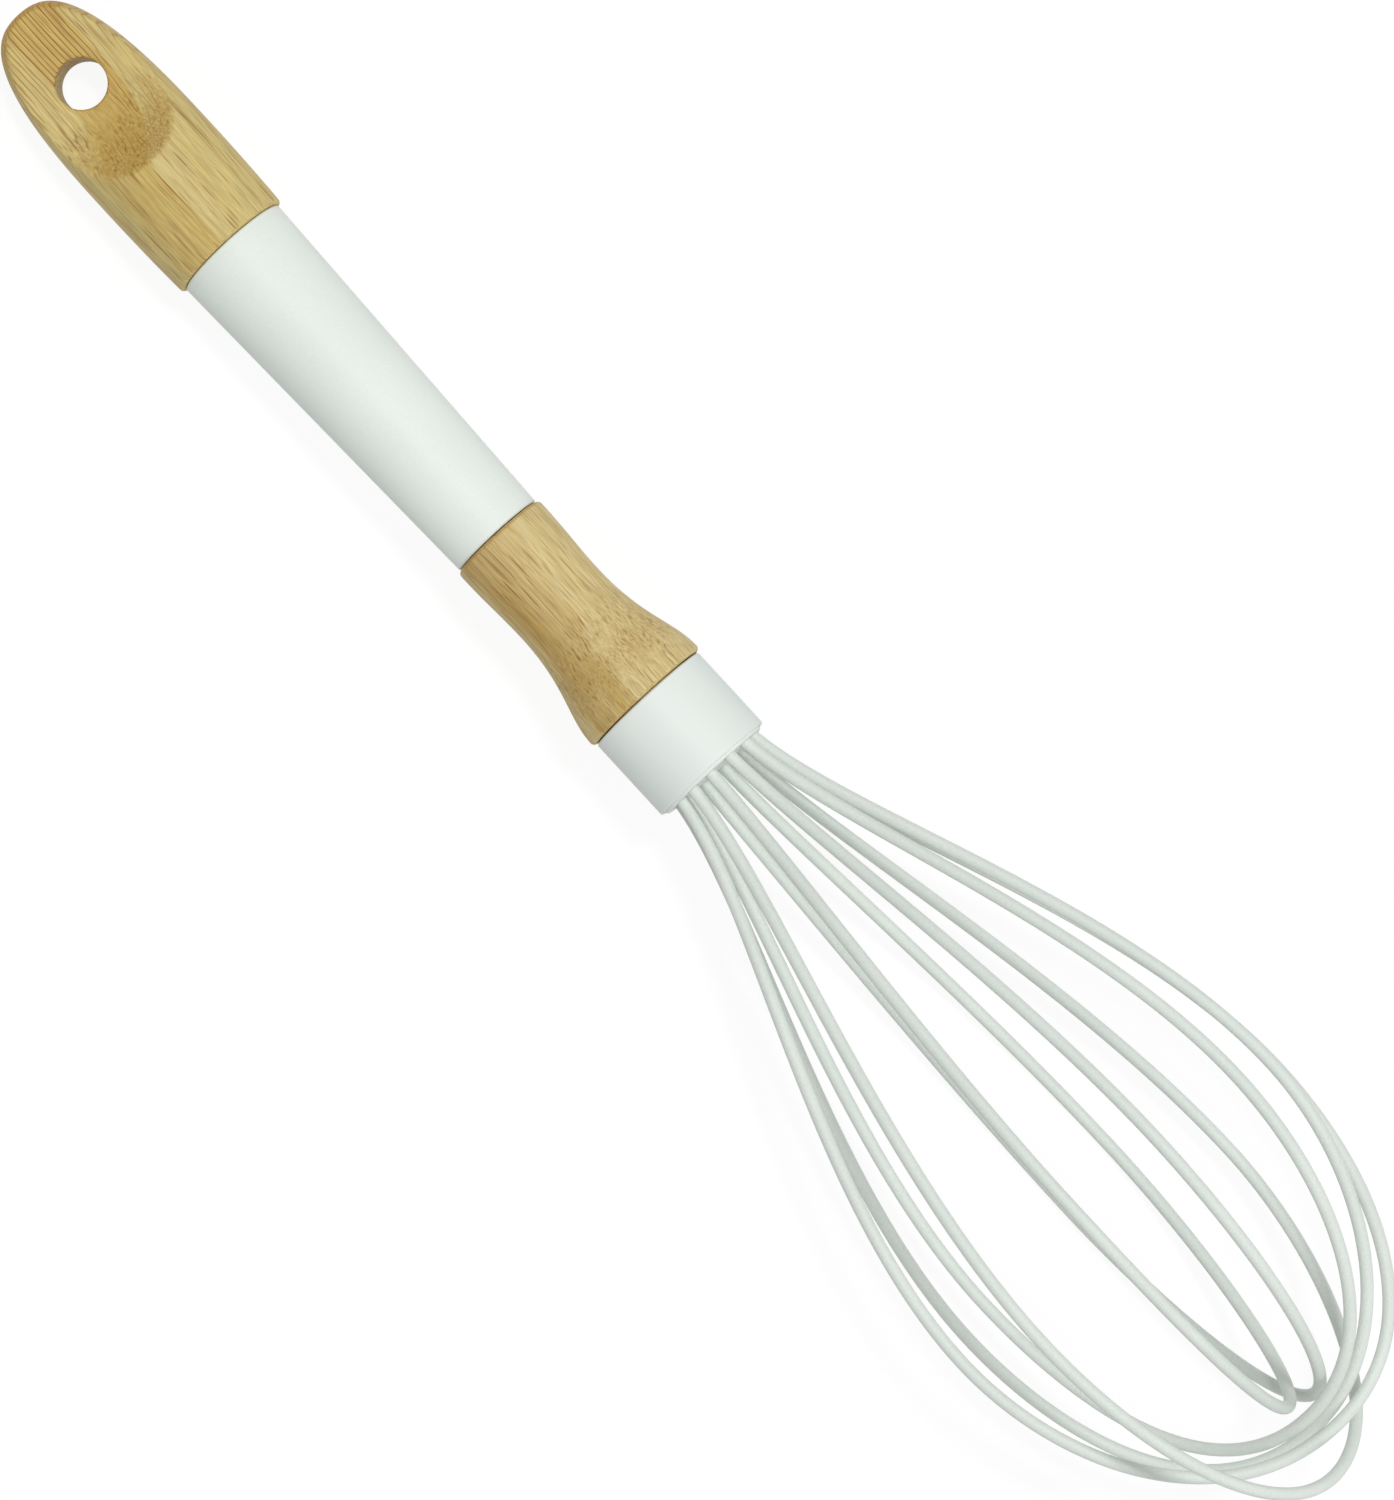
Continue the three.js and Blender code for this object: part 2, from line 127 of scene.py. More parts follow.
# reach, upper and lower belly bearing, side and rise of the crown, bearing of the wire at the crown
LOOPS = (
    (0.965, 5.5, 191.7, 0.056, -0.021, 0),
    (1, 49.2, 235.1, -0.078, 0.14, 55.9),
    (0.915, 81.6, 260, -0.029, -0.007, 80.8),
    (0.926, 109.8, 279.7, 0.087, -0.154, 103.7),
    (0.937, 143, 319, -0.032, 0.073, 146.7),
    (0.953, 164.1, 336, -0.055, -0.139, 156.3),
)

# Points to a ring, steps along a profile or a leg, and the angle in degrees from which an edge stays sharp
END_STEPS = 320
TURNED_STEPS = 192
COLLAR_STEPS = 224
HOLE_STEPS = 96
HOLE_ROUNDING_STEPS = 8
GUIDE_HOLE_STEPS = 32
TUBE_STEPS = 20
LEG_STEPS = 56
SHOULDER_STEPS = 60
WOOD_SHARP = 35
MOULDED_SHARP = 50
CUTTER_SHARP = 40


def whisk_frame():
    """The whisk's own axes, from the two ends of its tie rod."""
    rod = [Vector(v.co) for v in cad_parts["tie_rod"].data.vertices]
    middle = (min(p.x for p in rod) + max(p.x for p in rod)) / 2
    rear_ring = [p for p in rod if p.x < middle]
    front_ring = [p for p in rod if p.x > middle]
    rear = sum(rear_ring, Vector()) / len(rear_ring)
    front = sum(front_ring, Vector()) / len(front_ring)
    along = (front - rear).normalized()
    side = Vector((0, 1, 0))
    up = along.cross(side).normalized()
    tip = rear - along * ROD_START * MM
    turn = Matrix((along, side, up)).transposed().to_4x4()
    return Matrix.Translation(tip) @ turn


WHISK = whisk_frame()


# Meshes
def soften(obj, sharp):
    obj.data.shade_smooth()
    obj.data.set_sharp_from_angle(angle=math.radians(sharp))


def add_mesh(name, points, faces, sharp):
    """An object from points in millimetres along the whisk's own axes."""
    mesh = bpy.data.meshes.new(name)
    mesh.from_pydata([tuple(p) for p in np.asarray(points, float) * MM], [], faces)
    work = bmesh.new()
    work.from_mesh(mesh)
    bmesh.ops.recalc_face_normals(work, faces=work.faces)
    work.to_mesh(mesh)
    work.free()
    mesh.transform(WHISK)
    obj = bpy.data.objects.new(name, mesh)
    scene.collection.objects.link(obj)
    soften(obj, sharp)
    return obj


def even_angles(steps):
    return [2 * math.pi * i / steps for i in range(steps)]


def axis_ring(station, radii, angles):
    """A ring about the whisk's axis, with one radius or with one to each angle."""
    radii = np.broadcast_to(radii, len(angles))
    return [(station, r * math.cos(a), r * math.sin(a)) for r, a in zip(radii, angles)]


def circle(centre, radius, across, other, steps):
    return [centre + radius * (math.cos(a) * across + math.sin(a) * other) for a in even_angles(steps)]


def add_ring(points, ring):
    """Adds a ring to a list of points and gives back the numbers of its points."""
    first = len(points)
    points.extend(ring)
    return list(range(first, len(points)))


def strip(a, b):
    """Faces between two closed rings, either of which may be a single point."""
    if len(a) == 1 and len(b) == 1:
        return []
    steps = max(len(a), len(b))
    faces = []
    for i in range(steps):
        j = (i + 1) % steps
        if len(a) == 1:
            faces.append((a[0], b[i], b[j]))
        elif len(b) == 1:
            faces.append((a[i], b[0], a[j]))
        else:
            faces.append((a[i], b[i], b[j], a[j]))
    return faces


def skin(rings):
    """Faces over a row of rings."""
    return [face for a, b in zip(rings, rings[1:]) for face in strip(a, b)]


def caps(first, last):
    return [tuple(first), tuple(reversed(last))]


def turned(name, outline, steps, sharp):
    """A closed outline of (station, radius) points turned about the whisk's axis."""
    points, rings = [], []
    angles = even_angles(steps)
    for station, radius in outline:
        ring = axis_ring(station, radius, angles) if radius > 0 else [(station, 0.0, 0.0)]
        rings.append(add_ring(points, ring))
    return add_mesh(name, points, skin(rings + rings[:1]), sharp)


def arc(centre, radius, start, end, steps=8):
    """Points of a round edge in (station, radius), angles in degrees from +station."""
    angles = np.radians(np.linspace(start, end, steps + 1))
    return [(centre[0] + radius * math.cos(a), centre[1] + radius * math.sin(a)) for a in angles]


def bezier(points, steps):
    p = np.asarray(points, float)
    u = np.linspace(0, 1, steps + 1)[:, None]
    return (1 - u) ** 3 * p[0] + 3 * u * (1 - u) ** 2 * p[1] + 3 * u**2 * (1 - u) * p[2] + u**3 * p[3]


def subtract(obj, cutter, sharp):
    """Cuts one mesh out of another and keeps the result as a plain mesh."""
    cut = obj.modifiers.new("cut", "BOOLEAN")
    cut.operation = "DIFFERENCE"
    cut.solver = "EXACT"
    cut.object = cutter
    bpy.context.view_layer.update()
    result = bpy.data.meshes.new_from_object(obj.evaluated_get(bpy.context.evaluated_depsgraph_get()))
    obj.modifiers.clear()
    obj.data = result
    bpy.data.objects.remove(cutter)
    soften(obj, sharp)
    return obj


# Handle end: a turned nose with two soft-edged flats, a cove at the end of each, and the hang hole
BARREL_END = END_LENGTH - END_EDGE
# stations lie close together over the flats and the cove, and angles at the rims of the flats
CLOSE_FROM, CLOSE_TO, CLOSE_STEP = 12.0, 33.0, 0.25
TIP_STATIONS, BARREL_STATIONS, EDGE_STATIONS = 34, 34, 9
TIP_CROWDING = 1.6
RIM_CROWDING = 0.18
# the cove ends just short of upright, past it the flat lies outside the barrel, and so does a flat seen edge on
COVE_LIMIT = 0.9999
NO_FLAT = 60.0
SINE_FLOOR = 0.02
# near the tip the soft edge shrinks with the radius
TIP_SOFTNESS = 0.6


def end_profile(stations):
    """Radius of the turned end before the flats are cut."""
    x = np.asarray(stations, float)
    rest = np.clip(1 - x / END_NOSE, 0, 1) ** END_BLUNTNESS
    nose = END_RADIUS * (1 - rest) ** (1 / END_BLUNTNESS)
    span = BARREL_END - END_NOSE
    barrel = bezier([
        (END_NOSE, END_RADIUS), (END_NOSE + BARREL_PULL_REAR * span, END_RADIUS),
        (BARREL_END - BARREL_PULL_FRONT * span, END_SEAM_RADIUS + BARREL_FALL),
        (BARREL_END, END_SEAM_RADIUS)], steps=60)
    radius = np.where(x < END_NOSE, nose, np.interp(x, barrel[:, 0], barrel[:, 1]))
    into_edge = np.clip((x - BARREL_END) / END_EDGE, 0, 1)
    return radius - END_EDGE * (1 - np.sqrt(1 - into_edge**2))


def smooth_min(a, b, softness):
    share = np.clip(0.5 + 0.5 * (b - a) / softness, 0, 1)
    return b + (a - b) * share - softness * share * (1 - share)


def end_surface(stations, angles):
    """Radius of the shaped end at every station and angle."""
    x = np.asarray(stations, float)[:, None]
    a = np.asarray(angles, float)[None, :]
    into_cove = np.clip(x - FLAT_LENGTH, 0, COVE_RADIUS * COVE_LIMIT)
    height = FLAT_HALF + COVE_RADIUS - np.sqrt(COVE_RADIUS**2 - into_cove**2)
    height = np.where(x > FLAT_LENGTH + COVE_RADIUS, NO_FLAT, height)
    flat = height / np.maximum(np.abs(np.sin(a)), SINE_FLOOR)
    blend = np.clip(into_cove / COVE_RADIUS, 0, 1)
    softness = FLAT_SOFTNESS + (COVE_SOFTNESS - FLAT_SOFTNESS) * blend
    round_radius = end_profile(x[:, 0])[:, None] + 0 * a
    softness = np.minimum(softness, TIP_SOFTNESS * round_radius)
    return smooth_min(round_radius, flat, softness)


def end_stations():
    quarter = np.linspace(0, 1, TIP_STATIONS)[1:] * math.pi / 2
    tip = END_NOSE * (1 - np.cos(quarter)) ** TIP_CROWDING
    close = np.arange(CLOSE_FROM, CLOSE_TO + 0.01, CLOSE_STEP)
    barrel = np.linspace(END_NOSE, BARREL_END, BARREL_STATIONS)
    edge = BARREL_END + END_EDGE * np.sin(np.linspace(0, 1, EDGE_STATIONS)[1:] * math.pi / 2)
    return np.concatenate([tip[tip < CLOSE_FROM], close, barrel, edge])


def make_handle_end():
    stations = end_stations()
    even = np.array(even_angles(END_STEPS))
    angles = even - RIM_CROWDING * np.sin(2 * even)
    points = []
    rings = [add_ring(points, [(0.0, 0.0, 0.0)])]
    for station, radii in zip(stations, end_surface(stations, angles)):
        rings.append(add_ring(points, axis_ring(station, radii, angles)))
    socket_end, rod_end = END_LENGTH - SOCKET_DEPTH, ROD_START - SEAM
    bore = ((END_LENGTH, SPIGOT_HOLE), (socket_end, SPIGOT_HOLE), (socket_end, ROD_HOLE), (rod_end, ROD_HOLE))
    for station, radius in bore:
        rings.append(add_ring(points, axis_ring(station, radius, even)))
    rings.append(add_ring(points, [(rod_end, 0.0, 0.0)]))
    end = add_mesh("handle_end_turned", points, skin(rings), WOOD_SHARP)
    return subtract(end, hole_cutter(), WOOD_SHARP)


def hole_cutter():
    """The hang hole, leaning across the handle, with a small rounding at both rims."""
    rise = FLAT_HALF - HOLE_ROUNDING
    profile = [(HOLE_RADIUS + HOLE_ROUNDING, FLAT_HALF + HOLE_MARGIN)]
    for i in range(HOLE_ROUNDING_STEPS + 1):
        a = math.pi / 2 * i / HOLE_ROUNDING_STEPS
        out = HOLE_ROUNDING * (1 - math.sin(a))
        profile.append((HOLE_RADIUS + out, rise + HOLE_ROUNDING * math.cos(a)))
    profile += [(r, -z) for r, z in reversed(profile)]
    points, rings = [], []
    for r, z in profile:
        lean = HOLE_LEAN * (FLAT_HALF - z)
        ring = [(HOLE_STATION + r * math.cos(a), r * math.sin(a) + lean, z) for a in even_angles(HOLE_STEPS)]
        rings.append(add_ring(points, ring))
    return add_mesh("hole_cutter", points, caps(rings[0], rings[-1]) + skin(rings), CUTTER_SHARP)


# Grip sleeve, collar, ferrule and guide
def make_sleeve():
    rear, front = GRIP_START + END_SHOWN_SEAM, COLLAR_START - COLLAR_SHOWN_SEAM
    ends = [rear + GRIP_EDGE, front - GRIP_EDGE]
    outline = [(rear, SPIGOT_HOLE)]
    outline += arc((ends[0], GRIP_REAR - GRIP_EDGE), GRIP_EDGE, 180, 90)
    outline += [(x, np.interp(x, ends, [GRIP_REAR, GRIP_FRONT])) for x in np.linspace(*ends, 24)[1:-1]]
    outline += arc((ends[1], GRIP_FRONT - GRIP_EDGE), GRIP_EDGE, 90, 0)
    outline.append((front, SPIGOT_HOLE))
    return turned("grip_sleeve_soft", outline, TURNED_STEPS, MOULDED_SHARP)


def make_collar():
    neck_start = COLLAR_START + COLLAR_SHOULDER
    flare_end = FERRULE_START - FERRULE_SHOWN_SEAM
    rim = flare_end - FLARE_EDGE
    neck, flare = WAIST_STATION - neck_start, rim - WAIST_STATION
    outline = [(COLLAR_START, SPIGOT_HOLE)]
    outline += arc((neck_start, COLLAR_RADIUS - COLLAR_SHOULDER), COLLAR_SHOULDER, 180, 90, steps=10)
    outline += list(map(tuple, bezier([
        (neck_start, COLLAR_RADIUS), (neck_start + NECK_PULL_REAR * neck, COLLAR_RADIUS),
        (WAIST_STATION - NECK_PULL_FRONT * neck, WAIST_RADIUS), (WAIST_STATION, WAIST_RADIUS)], steps=30)[1:-1]))
    outline += list(map(tuple, bezier([
        (WAIST_STATION, WAIST_RADIUS), (WAIST_STATION + FLARE_PULL_REAR * flare, WAIST_RADIUS),
        (rim - FLARE_PULL_FRONT * flare, FLARE_RADIUS), (rim, FLARE_RADIUS)], steps=40)[:-1]))
    outline += arc((rim, FLARE_RADIUS - FLARE_EDGE), FLARE_EDGE, 90, 0, steps=12)
    tenon_end = FERRULE_START + TENON_LENGTH
    socket_end = COLLAR_START + SOCKET_DEPTH
    outline += [
        (flare_end, TENON_RADIUS), (tenon_end, TENON_RADIUS), (tenon_end, ROD_HOLE),
        (socket_end, ROD_HOLE), (socket_end, SPIGOT_HOLE)]
    return turned("wood_collar_turned", outline, COLLAR_STEPS, WOOD_SHARP)


def make_ferrule():
    edge, inner_edge = FERRULE_EDGE, FERRULE_BORE_EDGE
    web_start = FERRULE_START + TENON_LENGTH + SEAM
    web_end = web_start + FERRULE_WEB
    socket = TENON_RADIUS + SEAM
    outline = [(FERRULE_START, socket)]
    outline += arc((FERRULE_START + edge, FERRULE_RADIUS - edge), edge, 180, 90, steps=6)
    outline += [(x, FERRULE_RADIUS) for x in np.linspace(FERRULE_START + 1, MOUTH - 1, num=10)]
    outline += arc((MOUTH - edge, FERRULE_RADIUS - edge), edge, 90, 0, steps=6)
    outline += arc((MOUTH - inner_edge, FERRULE_BORE + inner_edge), inner_edge, 0, -90, steps=4)
    outline += [(web_end, FERRULE_BORE), (web_end, ROD_HOLE), (web_start, ROD_HOLE), (web_start, socket)]
    return turned("ferrule_ring", outline, TURNED_STEPS, MOULDED_SHARP)


def outward(bearing):
    a = math.radians(bearing)
    return np.array([0.0, -math.cos(a), math.sin(a)])


def root_bearings(number):
    """Bearings at which the two legs of a loop leave the guide."""
    first = ROOT_BEARING + number * 180 / len(LOOPS)
    return first, first + 180


def leg_root(bearing):
    splay = math.radians(ROOT_SPLAY)
    point = np.array([MOUTH, ROOT_SIDE, 0]) + ROOT_RADIUS * outward(bearing)
    direction = np.array([math.cos(splay), 0, 0]) + math.sin(splay) * outward(bearing)
    return point, direction


def across_of(direction):
    across = np.cross(direction, [0, 0, 1.0])
    return across / np.linalg.norm(across)


def make_guide():
    rim = MOUTH + GUIDE_LIP
    edge_start = rim - GUIDE_EDGE
    outline = [(GUIDE_START, 0.0), (GUIDE_START, GUIDE_RADIUS)]
    outline += [(x, GUIDE_RADIUS) for x in np.linspace(GUIDE_START, edge_start, 4)[1:-1]]
    outline += arc((edge_start, GUIDE_RADIUS - GUIDE_EDGE), GUIDE_EDGE, 90, 0)
    outline += [(rim, radius) for radius in GUIDE_FACE_RINGS + (0.0,)]
    plug = turned("guide_plug", outline, TURNED_STEPS, MOULDED_SHARP)
    points, faces = [], []
    for number in range(len(LOOPS)):
        for bearing in root_bearings(number):
            point, direction = leg_root(bearing)
            across = across_of(direction)
            other = np.cross(direction, across)
            rings = []
            for reach in GUIDE_HOLE_REACH:
                centre = point + direction * reach
                ring = circle(centre, COAT_RADIUS + COAT_CLEARANCE, across, other, GUIDE_HOLE_STEPS)
                rings.append(add_ring(points, ring))
            faces += skin(rings) + caps(*rings)
    return subtract(plug, add_mesh("guide_cutter", points, faces, CUTTER_SHARP), MOULDED_SHARP)


# Wire coats: hollow tubes along the loops
def loop_path(number):
    reach_share, upper, lower, side, rise, turn = LOOPS[number]
    reach = reach_share * HEAD_LENGTH
    belly_station = reach - CROWN_LENGTH
    crown = np.array([MOUTH + reach, side * BELLY_RADIUS, rise * BELLY_RADIUS])
    axis = np.array([1.0, 0, 0])
    legs = []
    for root_bearing, belly_bearing, sign in zip(root_bearings(number), (upper, lower), (1, -1)):
        root, direction = leg_root(root_bearing)
        belly = np.array([MOUTH + belly_station, 0, 0]) + BELLY_RADIUS * outward(belly_bearing)
        leg = bezier([
            root, root + direction * ROOT_PULL * belly_station,
            belly - axis * BELLY_PULL_REAR * belly_station, belly], LEG_STEPS)
        shoulder = bezier([
            belly, belly + axis * BELLY_PULL_FRONT * CROWN_LENGTH,
            crown + sign * outward(turn) * CROWN_PULL * BELLY_RADIUS, crown], SHOULDER_STEPS)
        inside = [root - direction * COAT_DEPTH * share for share in (1, 0.5)]
        legs.append(np.vstack([inside, leg, shoulder[1:]]))
    return np.vstack([legs[0], legs[1][::-1][1:]])


def make_tube(number):
    path = loop_path(number)
    tangents = np.gradient(path, axis=0)
    tangents /= np.linalg.norm(tangents, axis=1)[:, None]
    across = across_of(tangents[0])
    points, outer, inner = [], [], []
    for p, t in zip(path, tangents):
        across = across - t * np.dot(across, t)
        across /= np.linalg.norm(across)
        other = np.cross(t, across)
        for rings, radius in ((outer, COAT_RADIUS), (inner, COAT_BORE)):
            rings.append(add_ring(points, circle(p, radius, across, other, TUBE_STEPS)))
    faces = skin(outer) + skin(inner)
    faces += strip(outer[0], inner[0]) + strip(outer[-1], inner[-1])
    return add_mesh(f"wire_tube_{number + 1}", points, faces, MOULDED_SHARP)


# Materials: the range that a noise mostly stays in, and its middle
NOISE_RANGE = (0.3, 0.7)
NOISE_MIDDLE = (0.35, 0.65)


def linear(r, g, b):
    def channel(c):
        return c / 12.92 if c <= 0.04045 else ((c + 0.055) / 1.055) ** 2.4

    return tuple(channel(c / 255) for c in (r, g, b)) + (1.0,)


class Nodes:
    """Short names for the nodes of one material."""

    def __init__(self, name):
        self.material = bpy.data.materials.new(name)
        self.material.use_nodes = True
        self.tree = self.material.node_tree
        self.shader = self.tree.nodes["Principled BSDF"]

    def add(self, kind, **values):
        node = self.tree.nodes.new(kind)
        for key, value in values.items():
            setattr(node, key, value)
        return node

    def link(self, source, target):
        self.tree.links.new(source, target)

    def put(self, socket, value):
        if isinstance(value, bpy.types.NodeSocket):
            self.link(value, socket)
        else:
            socket.default_value = value

    def whisk_coords(self, kind="Object"):
        """Place, or direction of the surface, along the whisk's own axes."""
        back = WHISK.inverted()
        node = self.add("ShaderNodeMapping", vector_type="POINT" if kind == "Object" else "VECTOR")
        node.inputs["Rotation"].default_value = back.to_euler()
        if kind == "Object":
            node.inputs["Location"].default_value = back.to_translation()
        self.link(self.add("ShaderNodeTexCoord").outputs[kind], node.inputs["Vector"])
        return node.outputs["Vector"]

    def parts(self, vector):
        node = self.add("ShaderNodeSeparateXYZ")
        self.link(vector, node.inputs["Vector"])
        return node.outputs

    def stretch(self, vector, scale, place=(0, 0, 0)):
        node = self.add("ShaderNodeMapping")
        self.link(vector, node.inputs["Vector"])
        node.inputs["Scale"].default_value = scale
        node.inputs["Location"].default_value = place
        return node.outputs["Vector"]

    def noise(self, vector, scale, detail, roughness=0.5, output="Fac"):
        node = self.add("ShaderNodeTexNoise")
        self.link(vector, node.inputs["Vector"])
        node.inputs["Scale"].default_value = scale
        node.inputs["Detail"].default_value = detail
        node.inputs["Roughness"].default_value = roughness
        return node.outputs[output]

    def grain(self, vector, scales, detail, roughness=0.5, place=(0, 0, 0), output="Fac"):
        """Noise with one scale along the whisk and one across it."""
        along, across = scales
        return self.noise(self.stretch(vector, (along, across, across), place), 1.0, detail, roughness, output)

    def span(self, value, low, high, to_low=0.0, to_high=1.0, smooth=False):
        node = self.add("ShaderNodeMapRange")
        node.interpolation_type = "SMOOTHSTEP" if smooth else "LINEAR"
        self.link(value, node.inputs["Value"])
        node.inputs["From Min"].default_value = low
        node.inputs["From Max"].default_value = high
        node.inputs["To Min"].default_value = to_low
        node.inputs["To Max"].default_value = to_high
        return node.outputs["Result"]

    def maths(self, operation, a, b=None):
        node = self.add("ShaderNodeMath", operation=operation)
        self.put(node.inputs[0], a)
        if b is not None:
            self.put(node.inputs[1], b)
        return node.outputs["Value"]

    def plus(self, a, b):
        return self.maths("ADD", a, b)

    def minus(self, a, b):
        return self.maths("SUBTRACT", a, b)

    def times(self, a, b):
        return self.maths("MULTIPLY", a, b)

    def larger(self, a, b):
        return self.maths("MAXIMUM", a, b)

    def mix(self, share, a, b, blend="MIX"):
        node = self.add("ShaderNodeMix", data_type="RGBA", blend_type=blend)
        self.put(node.inputs["Factor"], share)
        self.put(node.inputs[6], a)
        self.put(node.inputs[7], b)
        return node.outputs[2]

    def shade(self, base, value, low, high):
        """Multiplies a colour by a level that follows a noise."""
        level = self.span(value, *NOISE_RANGE, low, high)
        grey = self.add("ShaderNodeCombineColor")
        for key in ("Red", "Green", "Blue"):
            self.link(level, grey.inputs[key])
        return self.mix(1.0, base, grey.outputs["Color"], "MULTIPLY")

    def finish(self, base, roughness, specular, height, strength, distance):
        """Colour, roughness, gloss and relief of the surface, and the material itself."""
        self.link(base, self.shader.inputs["Base Color"])
        self.link(roughness, self.shader.inputs["Roughness"])
        self.shader.inputs["Specular IOR Level"].default_value = specular
        node = self.add("ShaderNodeBump")
        node.inputs["Strength"].default_value = strength
        node.inputs["Distance"].default_value = distance
        self.link(height, node.inputs["Height"])
        self.link(node.outputs["Normal"], self.shader.inputs["Normal"])
        return self.material


# Bamboo: scales of the grain along and across the fibres, per metre
RAGGED_EDGE = (40, 900)
WAVER = (22, 70)
PATCHES = (26, 260)
LONG_BUNDLES = (62, 1150)
SHORT_BUNDLES = (150, 2100)
ROW_UNEVEN = (22, 420)
ROW_FADING = (54, 760)
ROW_GROUPS = (34, 300)
FINE_FIBRES = (200, 2800)
MEDIUM_STREAKS = (26, 950)
SLOW_TONE = (18, 170)
MOTTLE = (900, 2900)
# direction across the strips, and rows of lines to a metre in Y and Z
STRIP_LEAN = (0.743, 0.669)
ROWS = (1200, 460)
# how far the fibres of one strip lie from those of the next, and how far they waver
STRIP_OFFSET = {"X": 0.37, "Y": 0.0113, "Z": 0.0071}
WAVER_REACH = (0.0, 0.0014, 0.0014)
# stations, in metres, between which the close lines of the nose run out
NOSE_END, NOSE_FULL = 0.020, 0.012
# distance from the middle of a bundle, in cells, out to which its line is darkest, and where the line ends
BUNDLE_CORE, LONG_OUTER, SHORT_OUTER = 0.14, 0.4, 0.42
# how strong the lines are: in each strip, at the nose, and the short ones
LINE_SHARE, DENSE_MORE, SPARSE_LESS = 0.75, 0.25, 0.15
NOSE_SHARE = 0.95
SHORT_SHARE = 0.65
# heights over the axis, in metres, between which the amber of the dense strip fades towards a paler top, partly
# the wood's own tone and partly painted sheen, and how far the tints go
AMBER_FULL, AMBER_WEAK = 0.005, 0.010
SPARSE_TINT = 0.6
STREAK_TINT = 0.35
# share of the end-grain colour, which is also painted shade on faces turned to the handle tip
END_GRAIN_AND_REAR_SHADE_TINT = 0.35
# how far the fine fibres stand out and the lines lie in
FINE_RELIEF, LINE_RELIEF = 0.7, 0.6
FIBRE_LINE = linear(144, 97, 36)
# end-grain colour, also used as painted shade on faces turned to the handle tip, and the colour of its dots
END_GRAIN_AND_REAR_SHADE = linear(192, 152, 64)
END_GRAIN_DOT = linear(160, 117, 48)

Wood = namedtuple("Wood", "place strip_width strip_shift feather split fineness pale mid amber streak")


def strips(n, coords, axes, wood):
    """Place across the strips of the lamination, and the shares of the dense and the sparse strip."""
    lean = n.plus(n.times(axes["Y"], STRIP_LEAN[0]), n.times(axes["Z"], STRIP_LEAN[1]))
    place = n.maths("DIVIDE", n.plus(lean, wood.strip_shift), wood.strip_width)
    soft = wood.feather
    ragged = n.span(n.grain(coords, RAGGED_EDGE, detail=2.0, place=wood.place), *NOISE_RANGE, -soft, soft)
    edge = n.plus(place, ragged)

    def within(start):
        enter = n.span(edge, start - soft, start + soft, smooth=True)
        leave = n.span(edge, start + 1 + soft, start + 1 - soft, smooth=True)
        return n.times(enter, leave)

    return place, within(0), within(1)


def fibre_coords(n, coords, strip_place, wood):
    """Place among the fibres: they waver slowly, and every strip can have its own."""
    strip_number = n.times(n.maths("FLOOR", strip_place), wood.split)
    own = n.add("ShaderNodeCombineXYZ")
    for key, step in STRIP_OFFSET.items():
        n.link(n.times(strip_number, step), own.inputs[key])
    bend = n.add("ShaderNodeVectorMath", operation="MULTIPLY_ADD")
    n.link(n.grain(coords, WAVER, detail=1.0, place=wood.place, output="Color"), bend.inputs[0])
    bend.inputs[1].default_value = WAVER_REACH
    n.link(own.outputs["Vector"], bend.inputs[2])
    moved = n.add("ShaderNodeVectorMath", operation="ADD")
    n.link(n.stretch(coords, (1, wood.fineness, wood.fineness), wood.place), moved.inputs[0])
    n.link(bend.outputs["Vector"], moved.inputs[1])
    return moved.outputs["Vector"]


def bundles(n, fibres, scales, outer):
    """Fibre bundles: dots in the cross-section, long dashes along the axis."""
    along, across = scales
    cells = n.add("ShaderNodeTexVoronoi", feature="F1")
    n.link(n.stretch(fibres, (along, across, across)), cells.inputs["Vector"])
    cells.inputs["Scale"].default_value = 1.0
    cells.inputs["Randomness"].default_value = 0.95
    pick = n.add("ShaderNodeSeparateColor")
    n.link(cells.outputs["Color"], pick.inputs["Color"])
    core = n.span(cells.outputs["Distance"], outer, BUNDLE_CORE, smooth=True)
    return n.times(core, n.span(pick.outputs["Red"], 0.1, 0.9, to_low=0.15))


def fibre_rows(n, fibres, axes):
    """Thin lines side by side that fade in and out in groups, straight and close at the nose."""
    across = n.parts(fibres)
    row = n.plus(n.times(across["Y"], ROWS[0]), n.times(across["Z"], ROWS[1]))
    nose = n.span(axes["X"], NOSE_END, NOSE_FULL)
    bending = n.span(nose, 0.0, 1.0, to_low=3.4, to_high=1.8)
    uneven = n.times(n.grain(fibres, ROW_UNEVEN, detail=3.0), bending)
    row = n.maths("PINGPONG", n.plus(row, uneven), 0.5)
    fading = n.span(n.grain(fibres, ROW_FADING, detail=2.0), 0.36, 0.56, to_low=0.05)
    groups = n.span(n.grain(fibres, ROW_GROUPS, detail=1.0), 0.42, 0.62)
    present = n.larger(n.times(fading, groups), n.times(nose, NOSE_SHARE))
    return n.times(n.span(row, 0.03, 0.18, to_low=1.0, to_high=0.0, smooth=True), present)


